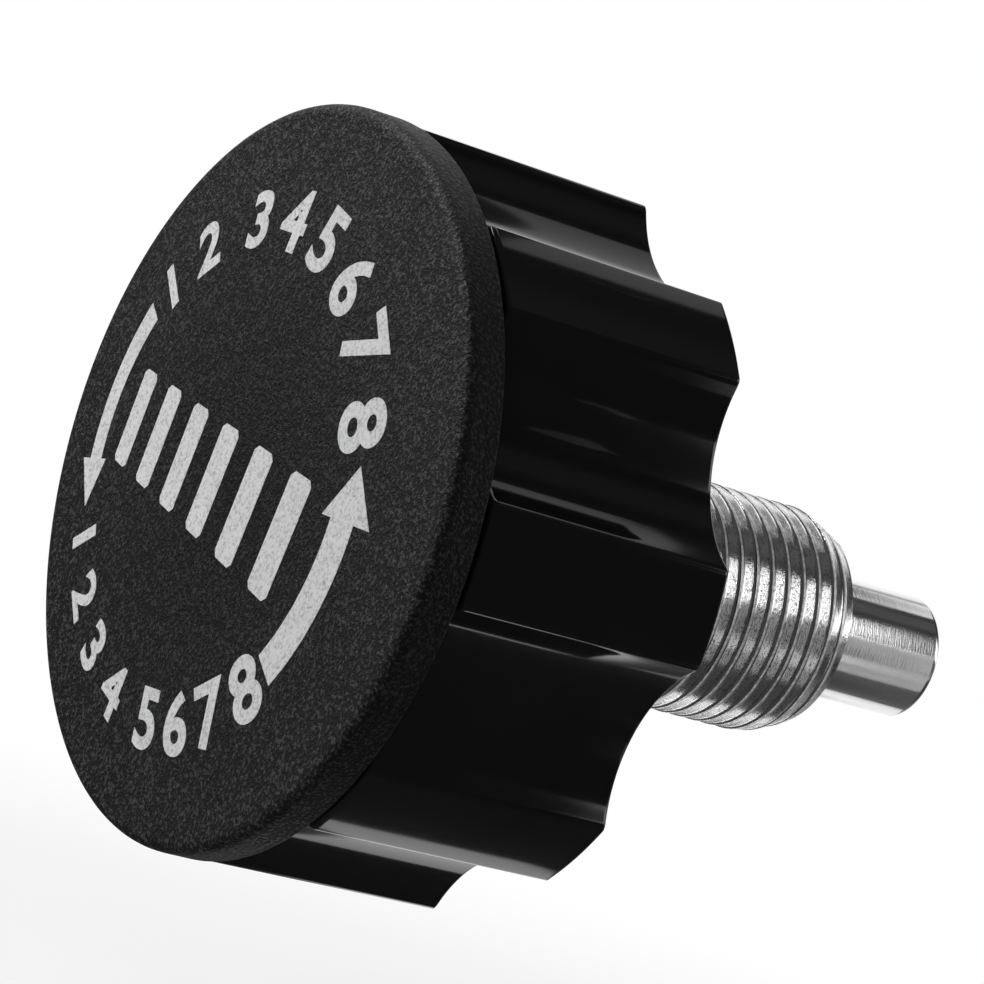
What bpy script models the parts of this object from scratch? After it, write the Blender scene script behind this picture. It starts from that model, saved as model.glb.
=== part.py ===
"""Spring pull pin with a scalloped knob.

Turning the knob screws the threaded sleeve in or out of a frame, and pulling the knob draws
the sprung lock pin back into the sleeve. The common axis is Y. The origin is on that axis at
the knob's back rim. The face of the knob looks along -Y and the pin points along +Y.
"""
import math

import bmesh
import bpy

# Gaps that keep neighbouring pieces apart
SEAT_GAP = 0.0003
SLIDE_GAP = 0.00015

# Face cap
CAP_OVERHANG = 0.00015
CAP_RIM = 0.0032
CAP_EDGE = 0.0008
CAP_WEB = 0.0018
CAP_SPIGOT_WALL = 0.0016

# Knob body
KNOB_DEPTH = 0.0245
LOBES = 8
LAND_RADIUS = 0.02785
FLUTE_DEPTH_SHARE = 0.131
FLUTE_RADIUS_SHARE = 0.368
CORNER_BLEND = 0.0004
CORNER_BLEND_LIMIT = 0.3
MOULD_DRAFT = 0.00025
KNOB_WALL = 0.0026
PLATE_THICKNESS = 0.0026
SEAM_WIDTH = 0.0005
SEAM_DEPTH = 0.0009
FRONT_EDGE = 0.0004
BACK_EDGE = 0.0002
POCKET_DEPTH = 0.0033
HUB_WALL = 0.0026
HUB_DROP = 0.0005
RIB_THICKNESS = 0.0016
RIB_DROP = 0.002
SOCKET_FLOOR_THICKNESS = 0.0028
SOCKET_CLEARANCE = 0.00025
SOCKET_LEAD = 0.0006

# Threaded sleeve, M18 x 1.5
HEX_ACROSS_FLATS = 0.022
HEX_CHAMFER = 0.0012
CHAMFER_SLANT = 1.6
HEAD_LENGTH = 0.008
THREAD_RADIUS = 0.009
THREAD_PITCH = 0.0015
THREAD_DEPTH = 0.00092
THREAD_CREST = 0.00019
THREAD_OVERCUT = 0.3
UNDERCUT_LENGTH = 0.0051
THREAD_REACH = 0.0263
SLEEVE_CHAMFER = 0.0009
CHAMBER_RADIUS = 0.0065
GUIDE_LENGTH = 0.0148
GUIDE_LEAD = 0.0004

# Lock pin
NOSE_RADIUS = 0.00487
NOSE_REACH = 0.0114
NOSE_EDGE = 0.0005
COLLAR_CLEARANCE = 0.0003
COLLAR_LENGTH = 0.0025
SHAFT_RADIUS = 0.003
TAIL_RADIUS = 0.0025
TAIL_CHAMFER = 0.0005
TAIL_PROUD = 0.0003
HOLE_CLEARANCE = 0.0003

# Return spring and its retainer
WIRE_RADIUS = 0.0005
SPRING_SIDE_GAP = 0.0009
SPRING_TURNS = 6.5
SPRING_DEAD_TURNS = 1.0
RETAINER_LENGTH = 0.004
RETAINER_STEP = 0.001
RETAINER_CHAMFER = 0.0003

# Washer and thin nut that hold the knob on the pin
WASHER_RADIUS = 0.0075
WASHER_THICKNESS = 0.001
NUT_ACROSS_FLATS = 0.008
NUT_HEIGHT = 0.0027
NUT_CHAMFER = 0.0004

# Facets and the cutters' reach past a surface
ROUND_SEGMENTS = 64
HEX_SIDES = 6
PIN_SEGMENTS = 32
THREAD_SEGMENTS = 24
SPRING_SEGMENTS = 13
ARC_STEPS = 3
FLUTE_STEPS = 3
SHARP_DEGREES = 35.0
CUT_PAST = 0.002

# Stations along Y, from the face to the tip of the pin
FACE_Y = -KNOB_DEPTH
CAP_BACK_Y = FACE_Y + CAP_RIM
BODY_FRONT_Y = CAP_BACK_Y + SEAT_GAP
BODY_SHOULDER_Y = CAP_BACK_Y + SEAM_WIDTH
POCKET_FLOOR_Y = BODY_FRONT_Y + POCKET_DEPTH
PLATE_BACK_Y = POCKET_FLOOR_Y + PLATE_THICKNESS
SOCKET_FLOOR_Y = POCKET_FLOOR_Y + SOCKET_FLOOR_THICKNESS
HEAD_REAR_Y = SOCKET_FLOOR_Y + SEAT_GAP
HEAD_FRONT_Y = HEAD_REAR_Y + HEAD_LENGTH
SLEEVE_END_Y = THREAD_REACH
CHAMBER_END_Y = SLEEVE_END_Y - GUIDE_LENGTH
COLLAR_FRONT_Y = CHAMBER_END_Y - SEAT_GAP
COLLAR_REAR_Y = COLLAR_FRONT_Y - COLLAR_LENGTH
TIP_Y = SLEEVE_END_Y + NOSE_REACH
RETAINER_FRONT_Y = HEAD_REAR_Y + RETAINER_LENGTH
WASHER_FRONT_Y = POCKET_FLOOR_Y - SEAT_GAP - WASHER_THICKNESS
NUT_FRONT_Y = WASHER_FRONT_Y - SEAT_GAP - NUT_HEIGHT
TAIL_END_Y = NUT_FRONT_Y - TAIL_PROUD

# Radii worked out from the values above
CAP_RADIUS = LAND_RADIUS + CAP_OVERHANG
FLUTE_DEPTH = LAND_RADIUS * FLUTE_DEPTH_SHARE
FLUTE_RADIUS = LAND_RADIUS * FLUTE_RADIUS_SHARE
FLUTE_BOTTOM = LAND_RADIUS - FLUTE_DEPTH
FLUTE_CENTRE = FLUTE_BOTTOM + FLUTE_RADIUS
POCKET_RADIUS = FLUTE_BOTTOM - KNOB_WALL
SPIGOT_RADIUS = POCKET_RADIUS - SEAT_GAP
HEX_CORNER = HEX_ACROSS_FLATS / math.sqrt(3.0)
SOCKET_CORNER = HEX_CORNER + SOCKET_CLEARANCE
HUB_RADIUS = SOCKET_CORNER + HUB_WALL
GUIDE_RADIUS = NOSE_RADIUS + SLIDE_GAP
COLLAR_RADIUS = CHAMBER_RADIUS - COLLAR_CLEARANCE
RETAINER_SEAT_RADIUS = CHAMBER_RADIUS + RETAINER_STEP
RETAINER_RADIUS = RETAINER_SEAT_RADIUS - SLIDE_GAP
SPRING_MEAN_RADIUS = CHAMBER_RADIUS - SPRING_SIDE_GAP - WIRE_RADIUS
HALF_LOBE = math.pi / LOBES


def clear_scene():
    for item in list(bpy.data.objects):
        bpy.data.objects.remove(item)


def finish(name, colour, roughness, metallic):
    """A plain material in the piece's own colour."""
    material = bpy.data.materials.new(name)
    material.use_nodes = True
    shader = material.node_tree.nodes["Principled BSDF"]
    shader.inputs["Base Color"].default_value = (*colour, 1.0)
    shader.inputs["Roughness"].default_value = roughness
    shader.inputs["Metallic"].default_value = metallic
    return material


def place(name, bm, material):
    """Turn a bmesh into a named object with its faces pointing out and its rounds smooth."""
    bmesh.ops.recalc_face_normals(bm, faces=bm.faces)
    mesh = bpy.data.meshes.new(name)
    bm.to_mesh(mesh)
    bm.free()
    mesh.shade_smooth()
    mesh.set_sharp_from_angle(angle=math.radians(SHARP_DEGREES))
    if material is not None:
        mesh.materials.append(material)
    item = bpy.data.objects.new(name, mesh)
    bpy.context.collection.objects.link(item)
    return item


def spun(outline, segments):
    """A bmesh turned about Y from an outline of (radius, y) points."""
    bm = bmesh.new()
    verts = [bm.verts.new((radius, y, 0.0)) for radius, y in outline]
    pairs = list(zip(verts, verts[1:]))
    if outline[0][0] > 0.0 or outline[-1][0] > 0.0:
        pairs.append((verts[-1], verts[0]))
    edges = [bm.edges.new(pair) for pair in pairs]
    bmesh.ops.spin(
        bm,
        geom=verts + edges,
        cent=(0.0, 0.0, 0.0),
        axis=(0.0, 1.0, 0.0),
        angle=math.tau,
        steps=segments,
        use_merge=True,
    )
    bmesh.ops.remove_doubles(bm, verts=bm.verts, dist=1e-6)
    return bm


def lofted(rings):
    """A bmesh through rings of equally many points, closed by a face at each end."""
    bm = bmesh.new()
    loops = [[bm.verts.new(point) for point in ring] for ring in rings]
    for low, high in zip(loops, loops[1:]):
        for k in range(len(low)):
            following = (k + 1) % len(low)
            bm.faces.new((low[k], low[following], high[following], high[k]))
    bm.faces.new(loops[0])
    bm.faces.new(loops[-1])
    return bm


def ring_at(radius, y, count, turn=0.0):
    """Points on a regular polygon about the Y axis."""
    angles = [turn + math.tau * k / count for k in range(count)]
    return [(radius * math.cos(a), y, radius * math.sin(a)) for a in angles]


def corner_arc(radius, y, size, from_degrees, to_degrees):
    """Points of a rounded corner about (radius, y), as (radius, y) pairs."""
    points = []
    for k in range(ARC_STEPS + 1):
        a = math.radians(from_degrees + (to_degrees - from_degrees) * k / ARC_STEPS)
        points.append((radius + size * math.cos(a), y + size * math.sin(a)))
    return points


def as_tool(item):
    """Mark a shape that only cuts or joins another, and keep it out of the model."""
    item.hide_render = True
    item.display_type = "WIRE"
    return item


def combine(item, tool, operation):
    step = item.modifiers.new(tool.name, "BOOLEAN")
    step.operation = operation
    step.object = tool


def hex_prism(name, corner, low, high):
    rings = [ring_at(corner, low, HEX_SIDES), ring_at(corner, high, HEX_SIDES)]
    return as_tool(place(name, lofted(rings), None))


def lobed_angles(inset):
    """Angles along one lobe, from the middle of its land to the next, close at the corners."""
    land = LAND_RADIUS - inset
    flute = FLUTE_RADIUS + inset
    meeting = (land**2 + FLUTE_CENTRE**2 - flute**2) / (2.0 * land * FLUTE_CENTRE)
    corner = HALF_LOBE - math.acos(min(meeting, 1.0))
    edge = min(CORNER_BLEND / LAND_RADIUS, CORNER_BLEND_LIMIT * corner)
    half = [0.0, corner - 2.0 * edge, corner - 0.5 * edge, corner + 0.5 * edge, corner + 2.0 * edge]
    start = half[-1]
    half += [start + (HALF_LOBE - start) * k / FLUTE_STEPS for k in range(1, FLUTE_STEPS)]
    return half + [HALF_LOBE] + [2.0 * HALF_LOBE - a for a in reversed(half[1:])]


def lobed_radius(angle, inset):
    """Distance from the axis to the knob's outline, where inset moves the outline inwards."""
    land = LAND_RADIUS - inset
    flute = FLUTE_RADIUS + inset
    from_flute = angle % (2.0 * HALF_LOBE) - HALF_LOBE
    reach = flute**2 - (FLUTE_CENTRE * math.sin(from_flute)) ** 2
    if reach <= 0.0:
        return land
    hollow = FLUTE_CENTRE * math.cos(from_flute) - math.sqrt(reach)
    overlap = max(CORNER_BLEND - abs(land - hollow), 0.0) / CORNER_BLEND
    return min(land, hollow) - overlap**2 * CORNER_BLEND / 4.0


def lobed_ring(inset, y):
    points = []
    for lobe in range(LOBES):
        for offset in lobed_angles(inset):
            angle = 2.0 * HALF_LOBE * lobe + offset
            radius = lobed_radius(offset, inset)
            points.append((radius * math.cos(angle), y, radius * math.sin(angle)))
    return points


def knob_blank():
    """The outside of the knob: seam step, rounded edges, and flutes that draw in to the back."""
    rings = [lobed_ring(SEAM_DEPTH, BODY_FRONT_Y), lobed_ring(SEAM_DEPTH, BODY_SHOULDER_Y)]
    for k in range(ARC_STEPS + 1):
        a = 0.5 * math.pi * k / ARC_STEPS
        inset = FRONT_EDGE * (1.0 - math.sin(a))
        rings.append(lobed_ring(inset, BODY_SHOULDER_Y + FRONT_EDGE * (1.0 - math.cos(a))))
    for k in range(ARC_STEPS + 1):
        a = 0.5 * math.pi * k / ARC_STEPS
        inset = MOULD_DRAFT + BACK_EDGE * (1.0 - math.cos(a))
        rings.append(lobed_ring(inset, -BACK_EDGE * (1.0 - math.sin(a))))
    return lofted(rings)


def back_hollow():
    """The space between the knob's wall and its hub, open at the back."""
    outer = lobed_ring(KNOB_WALL, 0.0)
    bm = bmesh.new()
    loops = []
    for y in (PLATE_BACK_Y, CUT_PAST):
        loops.append([bm.verts.new((x, y, z)) for x, _, z in outer])
        inner = []
        for x, _, z in outer:
            shrink = HUB_RADIUS / math.hypot(x, z)
            inner.append(bm.verts.new((x * shrink, y, z * shrink)))
        loops.append(inner)
    floor_outer, floor_inner, mouth_outer, mouth_inner = loops
    for a, b in (
        (floor_outer, mouth_outer),
        (mouth_outer, mouth_inner),
        (mouth_inner, floor_inner),
        (floor_inner, floor_outer),
    ):
        for k in range(len(a)):
            following = (k + 1) % len(a)
            bm.faces.new((a[k], a[following], b[following], b[k]))
    return as_tool(place("tool_back_hollow", bm, None))


def ribs():
    """One rib behind each flute, from inside the hub's wall to inside the skirt's wall."""
    bm = bmesh.new()
    inner = HUB_RADIUS - 0.5 * HUB_WALL
    outer = POCKET_RADIUS + 0.5 * KNOB_WALL
    low = PLATE_BACK_Y - 0.5 * PLATE_THICKNESS
    high = -RIB_DROP
    half = 0.5 * RIB_THICKNESS
    for lobe in range(LOBES):
        turn = 2.0 * HALF_LOBE * lobe + HALF_LOBE
        cos, sin = math.cos(turn), math.sin(turn)
        corners = []
        for y in (low, high):
            for r, t in ((inner, -half), (outer, -half), (outer, half), (inner, half)):
                corners.append(bm.verts.new((r * cos - t * sin, y, r * sin + t * cos)))
        for face in ((0, 1, 2, 3), (4, 5, 6, 7), (0, 1, 5, 4), (1, 2, 6, 5), (2, 3, 7, 6), (3, 0, 4, 7)):
            bm.faces.new([corners[i] for i in face])
    return as_tool(place("tool_ribs", bm, None))


def cylinder_tool(name, radius, low, high, segments):
    rings = [ring_at(radius, low, segments), ring_at(radius, high, segments)]
    return as_tool(place(name, lofted(rings), None))


def socket_tool():
    """The hexagon socket with a flared mouth at the end of the hub."""
    mouth = -HUB_DROP
    flare = SOCKET_CORNER + SOCKET_LEAD
    rings = [
        ring_at(SOCKET_CORNER, SOCKET_FLOOR_Y, HEX_SIDES),
        ring_at(SOCKET_CORNER, mouth - SOCKET_LEAD, HEX_SIDES),
        ring_at(flare, mouth, HEX_SIDES),
        ring_at(flare, CUT_PAST, HEX_SIDES),
    ]
    return as_tool(place("tool_socket", lofted(rings), None))


def make_knob_body():
    material = finish("gloss_black_plastic", (0.008, 0.008, 0.009), 0.18, 0.0)
    body = place("knob_body", knob_blank(), material)
    pocket = cylinder_tool(
        "tool_front_pocket", POCKET_RADIUS, BODY_FRONT_Y - CUT_PAST, POCKET_FLOOR_Y, ROUND_SEGMENTS
    )
    hub_top_radius = 0.5 * (HUB_RADIUS + POCKET_RADIUS)
    hub_top = cylinder_tool("tool_hub_top", hub_top_radius, -HUB_DROP, CUT_PAST, ROUND_SEGMENTS)
    hole = cylinder_tool(
        "tool_tail_hole",
        TAIL_RADIUS + HOLE_CLEARANCE,
        POCKET_FLOOR_Y - CUT_PAST,
        SOCKET_FLOOR_Y + CUT_PAST,
        PIN_SEGMENTS,
    )
    combine(body, pocket, "DIFFERENCE")
    combine(body, back_hollow(), "DIFFERENCE")
    combine(body, ribs(), "UNION")
    combine(body, hub_top, "DIFFERENCE")
    combine(body, socket_tool(), "DIFFERENCE")
    combine(body, hole, "DIFFERENCE")
    return body


def make_face_cap():
    """A grained disc with a rounded edge, and a ring behind it that fits the body's pocket."""
    material = finish("matte_black_plastic", (0.022, 0.022, 0.023), 0.6, 0.0)
    spigot_end = POCKET_FLOOR_Y - SEAT_GAP
    spigot_inside = SPIGOT_RADIUS - CAP_SPIGOT_WALL
    outline = [(0.0, FACE_Y)]
    outline += corner_arc(CAP_RADIUS - CAP_EDGE, FACE_Y + CAP_EDGE, CAP_EDGE, -90.0, 0.0)
    outline += [
        (CAP_RADIUS, CAP_BACK_Y),
        (SPIGOT_RADIUS, CAP_BACK_Y),
        (SPIGOT_RADIUS, spigot_end),
        (spigot_inside, spigot_end),
        (spigot_inside, FACE_Y + CAP_WEB),
        (0.0, FACE_Y + CAP_WEB),
    ]
    return place("face_cap", spun(outline, ROUND_SEGMENTS), material)


def thread_groove():
    """A right-hand helical cutter with the thread's groove as its section."""
    opening = 0.5 * (THREAD_PITCH - THREAD_CREST)
    slope = opening / THREAD_DEPTH
    past = THREAD_OVERCUT * THREAD_CREST / slope
    section = [
        (THREAD_RADIUS + past, -opening - past * slope),
        (THREAD_RADIUS + past, opening + past * slope),
        (THREAD_RADIUS - THREAD_DEPTH, 0.0),
    ]
    start = HEAD_FRONT_Y + 0.5 * UNDERCUT_LENGTH
    turns = math.ceil((SLEEVE_END_Y - start) / THREAD_PITCH) + 1
    bm = bmesh.new()
    loops = []
    for k in range(turns * THREAD_SEGMENTS + 1):
        angle = -math.tau * k / THREAD_SEGMENTS
        y = start + THREAD_PITCH * k / THREAD_SEGMENTS
        loop = [(r * math.cos(angle), y + dy, r * math.sin(angle)) for r, dy in section]
        loops.append([bm.verts.new(point) for point in loop])
    for a, b in zip(loops, loops[1:]):
        for k in range(len(section)):
            following = (k + 1) % len(section)
            bm.faces.new((a[k], a[following], b[following], b[k]))
    bm.faces.new(loops[0])
    bm.faces.new(loops[-1])
    return as_tool(place("tool_thread_groove", bm, None))


def make_threaded_sleeve():
    """The sleeve: hexagon head, undercut, outside thread, guide bore and spring chamber."""
    material = finish("zinc_plated_steel", (0.62, 0.63, 0.64), 0.28, 1.0)
    seat_y = RETAINER_FRONT_Y + SEAT_GAP
    undercut = THREAD_RADIUS - THREAD_DEPTH - SLIDE_GAP
    undercut_end = HEAD_FRONT_Y + UNDERCUT_LENGTH
    outline = [
        (RETAINER_SEAT_RADIUS, HEAD_REAR_Y),
        (HEX_CORNER - CHAMFER_SLANT * HEX_CHAMFER, HEAD_REAR_Y),
        (HEX_CORNER, HEAD_REAR_Y + HEX_CHAMFER),
        (HEX_CORNER, HEAD_FRONT_Y),
        (undercut, HEAD_FRONT_Y),
        (undercut, undercut_end - (THREAD_RADIUS - undercut)),
        (THREAD_RADIUS, undercut_end),
        (THREAD_RADIUS, SLEEVE_END_Y - SLEEVE_CHAMFER),
        (THREAD_RADIUS - SLEEVE_CHAMFER, SLEEVE_END_Y),
        (GUIDE_RADIUS + GUIDE_LEAD, SLEEVE_END_Y),
        (GUIDE_RADIUS, SLEEVE_END_Y - GUIDE_LEAD),
        (GUIDE_RADIUS, CHAMBER_END_Y),
        (CHAMBER_RADIUS, CHAMBER_END_Y),
        (CHAMBER_RADIUS, seat_y),
        (RETAINER_SEAT_RADIUS, seat_y),
    ]
    sleeve = place("threaded_sleeve", spun(outline, THREAD_SEGMENTS), material)
    hexagon = hex_prism("tool_sleeve_hex", HEX_CORNER, HEAD_REAR_Y - CUT_PAST, SLEEVE_END_Y + CUT_PAST)
    combine(sleeve, hexagon, "INTERSECT")
    combine(sleeve, thread_groove(), "DIFFERENCE")
    return sleeve


def make_lock_pin():
    """The pin: nose, collar that the spring pushes, shaft and a threaded tail for the knob."""
    material = finish("bright_steel", (0.66, 0.66, 0.67), 0.2, 1.0)
    outline = [(0.0, TIP_Y)]
    outline += corner_arc(NOSE_RADIUS - NOSE_EDGE, TIP_Y - NOSE_EDGE, NOSE_EDGE, 90.0, 0.0)
    outline += [
        (NOSE_RADIUS, COLLAR_FRONT_Y),
        (COLLAR_RADIUS, COLLAR_FRONT_Y),
        (COLLAR_RADIUS, COLLAR_REAR_Y),
        (SHAFT_RADIUS, COLLAR_REAR_Y),
        (SHAFT_RADIUS, HEAD_REAR_Y),
        (TAIL_RADIUS, HEAD_REAR_Y),
        (TAIL_RADIUS, TAIL_END_Y + TAIL_CHAMFER),
        (TAIL_RADIUS - TAIL_CHAMFER, TAIL_END_Y),
        (0.0, TAIL_END_Y),
    ]
    return place("lock_pin", spun(outline, PIN_SEGMENTS), material)


def make_return_spring():
    """A compression spring with closed ends, between the retainer and the pin's collar."""
    low = RETAINER_FRONT_Y + SEAT_GAP + WIRE_RADIUS
    high = COLLAR_REAR_Y - SEAT_GAP - WIRE_RADIUS
    dead_rise = 2.0 * WIRE_RADIUS + SLIDE_GAP
    open_turns = SPRING_TURNS - 2.0 * SPRING_DEAD_TURNS
    open_rise = high - low - 2.0 * SPRING_DEAD_TURNS * dead_rise
    count = round(SPRING_TURNS * SPRING_SEGMENTS)
    curve = bpy.data.curves.new("return_spring", "CURVE")
    curve.dimensions = "3D"
    curve.bevel_depth = WIRE_RADIUS
    curve.bevel_resolution = 1
    curve.use_fill_caps = True
    spline = curve.splines.new("POLY")
    spline.points.add(count)
    for k in range(count + 1):
        turn = SPRING_TURNS * k / count
        lead = min(turn, SPRING_DEAD_TURNS)
        tail = max(turn - (SPRING_TURNS - SPRING_DEAD_TURNS), 0.0)
        middle = turn - lead - tail
        y = low + (lead + tail) * dead_rise + middle * open_rise / open_turns
        angle = math.tau * turn
        x = SPRING_MEAN_RADIUS * math.cos(angle)
        z = SPRING_MEAN_RADIUS * math.sin(angle)
        spline.points[k].co = (x, y, z, 1.0)
    spline.use_smooth = True
    curve.materials.append(finish("spring_steel", (0.45, 0.45, 0.46), 0.35, 1.0))
    item = bpy.data.objects.new("return_spring", curve)
    bpy.context.collection.objects.link(item)
    return item


def make_spring_retainer():
    """The bush pressed into the sleeve's head, which the spring pushes against."""
    material = finish("turned_steel", (0.55, 0.55, 0.56), 0.35, 1.0)
    inside = SHAFT_RADIUS + HOLE_CLEARANCE
    outline = [
        (inside, HEAD_REAR_Y),
        (RETAINER_RADIUS - RETAINER_CHAMFER, HEAD_REAR_Y),
        (RETAINER_RADIUS, HEAD_REAR_Y + RETAINER_CHAMFER),
        (RETAINER_RADIUS, RETAINER_FRONT_Y),
        (inside, RETAINER_FRONT_Y),
    ]
    return place("spring_retainer", spun(outline, PIN_SEGMENTS), material)


def make_pin_washer():
    material = finish("washer_zinc", (0.6, 0.6, 0.62), 0.35, 1.0)
    inside = TAIL_RADIUS + HOLE_CLEARANCE
    outline = [
        (inside, WASHER_FRONT_Y),
        (WASHER_RADIUS, WASHER_FRONT_Y),
        (WASHER_RADIUS, WASHER_FRONT_Y + WASHER_THICKNESS),
        (inside, WASHER_FRONT_Y + WASHER_THICKNESS),
    ]
    return place("pin_washer", spun(outline, PIN_SEGMENTS), material)


def make_pin_nut():
    """A thin hexagon nut, chamfered on the side that faces the cap."""
    material = finish("nut_zinc", (0.6, 0.6, 0.62), 0.3, 1.0)
    corner = NUT_ACROSS_FLATS / math.sqrt(3.0)
    inside = TAIL_RADIUS + SLIDE_GAP
    back = NUT_FRONT_Y + NUT_HEIGHT
    outline = [
        (inside, NUT_FRONT_Y),
        (corner - CHAMFER_SLANT * NUT_CHAMFER, NUT_FRONT_Y),
        (corner, NUT_FRONT_Y + NUT_CHAMFER),
        (corner, back),
        (inside, back),
    ]
    nut = place("pin_nut", spun(outline, PIN_SEGMENTS), material)
    hexagon = hex_prism("tool_nut_hex", corner, NUT_FRONT_Y - CUT_PAST, back + CUT_PAST)
    combine(nut, hexagon, "INTERSECT")
    return nut


def carry(items):
    """Hang the pieces that slide together on one empty, on the sliding axis."""
    carrier = bpy.data.objects.new("pull_carrier", None)
    bpy.context.collection.objects.link(carrier)
    for item in items:
        item.parent = carrier


clear_scene()
make_threaded_sleeve()
make_spring_retainer()
make_return_spring()
carry([make_knob_body(), make_face_cap(), make_lock_pin(), make_pin_washer(), make_pin_nut()])
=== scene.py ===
"""Looks of a spring pull pin with a scalloped knob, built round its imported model.

The common axis is Y: the knob's face looks along -Y and the pin points along +Y. All lengths
are in metres. The sections follow the object as it is put together, from the sleeve outwards.
"""
import math

import bmesh
import bpy
import numpy as np
from mathutils import Matrix, Vector


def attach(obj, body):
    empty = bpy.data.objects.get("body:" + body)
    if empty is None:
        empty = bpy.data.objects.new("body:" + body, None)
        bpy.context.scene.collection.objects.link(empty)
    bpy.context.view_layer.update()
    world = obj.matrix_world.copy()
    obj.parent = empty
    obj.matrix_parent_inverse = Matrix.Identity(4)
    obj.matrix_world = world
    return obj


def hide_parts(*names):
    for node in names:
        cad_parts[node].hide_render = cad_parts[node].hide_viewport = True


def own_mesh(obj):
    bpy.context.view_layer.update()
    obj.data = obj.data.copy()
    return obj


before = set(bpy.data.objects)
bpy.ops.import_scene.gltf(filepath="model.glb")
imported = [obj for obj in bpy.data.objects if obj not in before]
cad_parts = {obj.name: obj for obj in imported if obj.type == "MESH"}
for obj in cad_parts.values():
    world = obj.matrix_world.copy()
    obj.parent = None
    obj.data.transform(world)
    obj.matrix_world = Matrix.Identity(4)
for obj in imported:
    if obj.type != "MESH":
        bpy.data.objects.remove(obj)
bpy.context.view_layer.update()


# Threaded sleeve: zinc-plated steel, turned from hexagon bar. Its head sits in the knob's
# socket, and its M18 x 1.5 thread is rolled, which leaves a fine seam along each crest.

class Wire:
    """A node's output that takes Python's operators, so that node maths reads as a formula."""

    def __init__(self, board, socket):
        self.board = board
        self.socket = socket

    def __add__(self, other):
        return self.board.maths("ADD", self, other)

    def __sub__(self, other):
        return self.board.maths("SUBTRACT", self, other)

    def __rsub__(self, other):
        return self.board.maths("SUBTRACT", other, self)

    def __mul__(self, other):
        return self.board.maths("MULTIPLY", self, other)

    def __truediv__(self, other):
        return self.board.maths("DIVIDE", self, other)

    def __pow__(self, other):
        return self.board.maths("POWER", self, other)

    __radd__ = __add__
    __rmul__ = __mul__


class Board:
    """A node tree that is being wired up."""

    def __init__(self, tree):
        self.tree = tree

    def add(self, kind, settings=None, values=None, output=0):
        """A new node: its settings first, then the values or wires of its sockets."""
        node = self.tree.nodes.new(kind)
        for key, value in (settings or {}).items():
            if key == "stops":
                self.set_stops(node.color_ramp, value)
            else:
                setattr(node, key, value)
        for key, value in (values or {}).items():
            if isinstance(value, Wire):
                self.tree.links.new(value.socket, node.inputs[key])
            else:
                node.inputs[key].default_value = value
        return None if output is None else Wire(self, node.outputs[output])

    def set_stops(self, ramp, stops):
        while len(ramp.elements) < len(stops):
            ramp.elements.new(1.0)
        for element, (position, level) in zip(ramp.elements, stops):
            element.position = position
            element.color = (level, level, level, 1.0)

    def maths(self, operation, *values):
        return self.add("ShaderNodeMath", {"operation": operation}, dict(enumerate(values)))

    def clamp(self, value):
        return self.add("ShaderNodeMath", {"operation": "ADD", "use_clamp": True}, {0: value, 1: 0.0})

    def parts_of(self, vector):
        """The x, y and z of a vector wire."""
        split = self.add("ShaderNodeSeparateXYZ", None, {0: vector})
        return [Wire(self, output) for output in split.socket.node.outputs]

    def blend(self, share, low, high):
        """A colour between two others, each a wire or three numbers."""
        both = [c if isinstance(c, Wire) else (*c, 1.0) for c in (low, high)]
        values = {0: share, 6: both[0], 7: both[1]}
        return self.add("ShaderNodeMix", {"data_type": "RGBA", "clamp_factor": True}, values, output=2)


class Finish(Board):
    """A material under way, with the piece's own coordinates at hand."""

    def __init__(self, name):
        self.material = bpy.data.materials.new(name)
        self.material.use_nodes = True
        super().__init__(self.material.node_tree)
        self.shader = self.tree.nodes["Principled BSDF"]
        self.place = self.add("ShaderNodeTexCoord", output="Object")

    def noise(self, scale, detail=2.0, stretch=(1.0, 1.0, 1.0)):
        place = self.place
        if stretch != (1.0, 1.0, 1.0):
            place = self.add("ShaderNodeMapping", None, {"Vector": place, "Scale": stretch})
        return self.add("ShaderNodeTexNoise", None, {"Vector": place, "Scale": scale, "Detail": detail})

    def ramp(self, value, stops):
        return self.add("ShaderNodeValToRGB", {"stops": stops}, {0: value})

    def bump(self, height, strength, distance, under=None):
        values = {"Height": height, "Strength": strength, "Distance": distance}
        if under is not None:
            values["Normal"] = under
        return self.add("ShaderNodeBump", None, values)

    def radius(self):
        x, _, z = self.parts_of(self.place)
        return self.maths("SQRT", x * x + z * z)

    def set(self, **sockets):
        """Give the shader's sockets, named with underscores, their values or wires."""
        for key, value in sockets.items():
            socket = self.shader.inputs[key.replace("_", " ")]
            if isinstance(value, Wire):
                self.tree.links.new(value.socket, socket)
            else:
                socket.default_value = value
        return self.material


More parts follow.
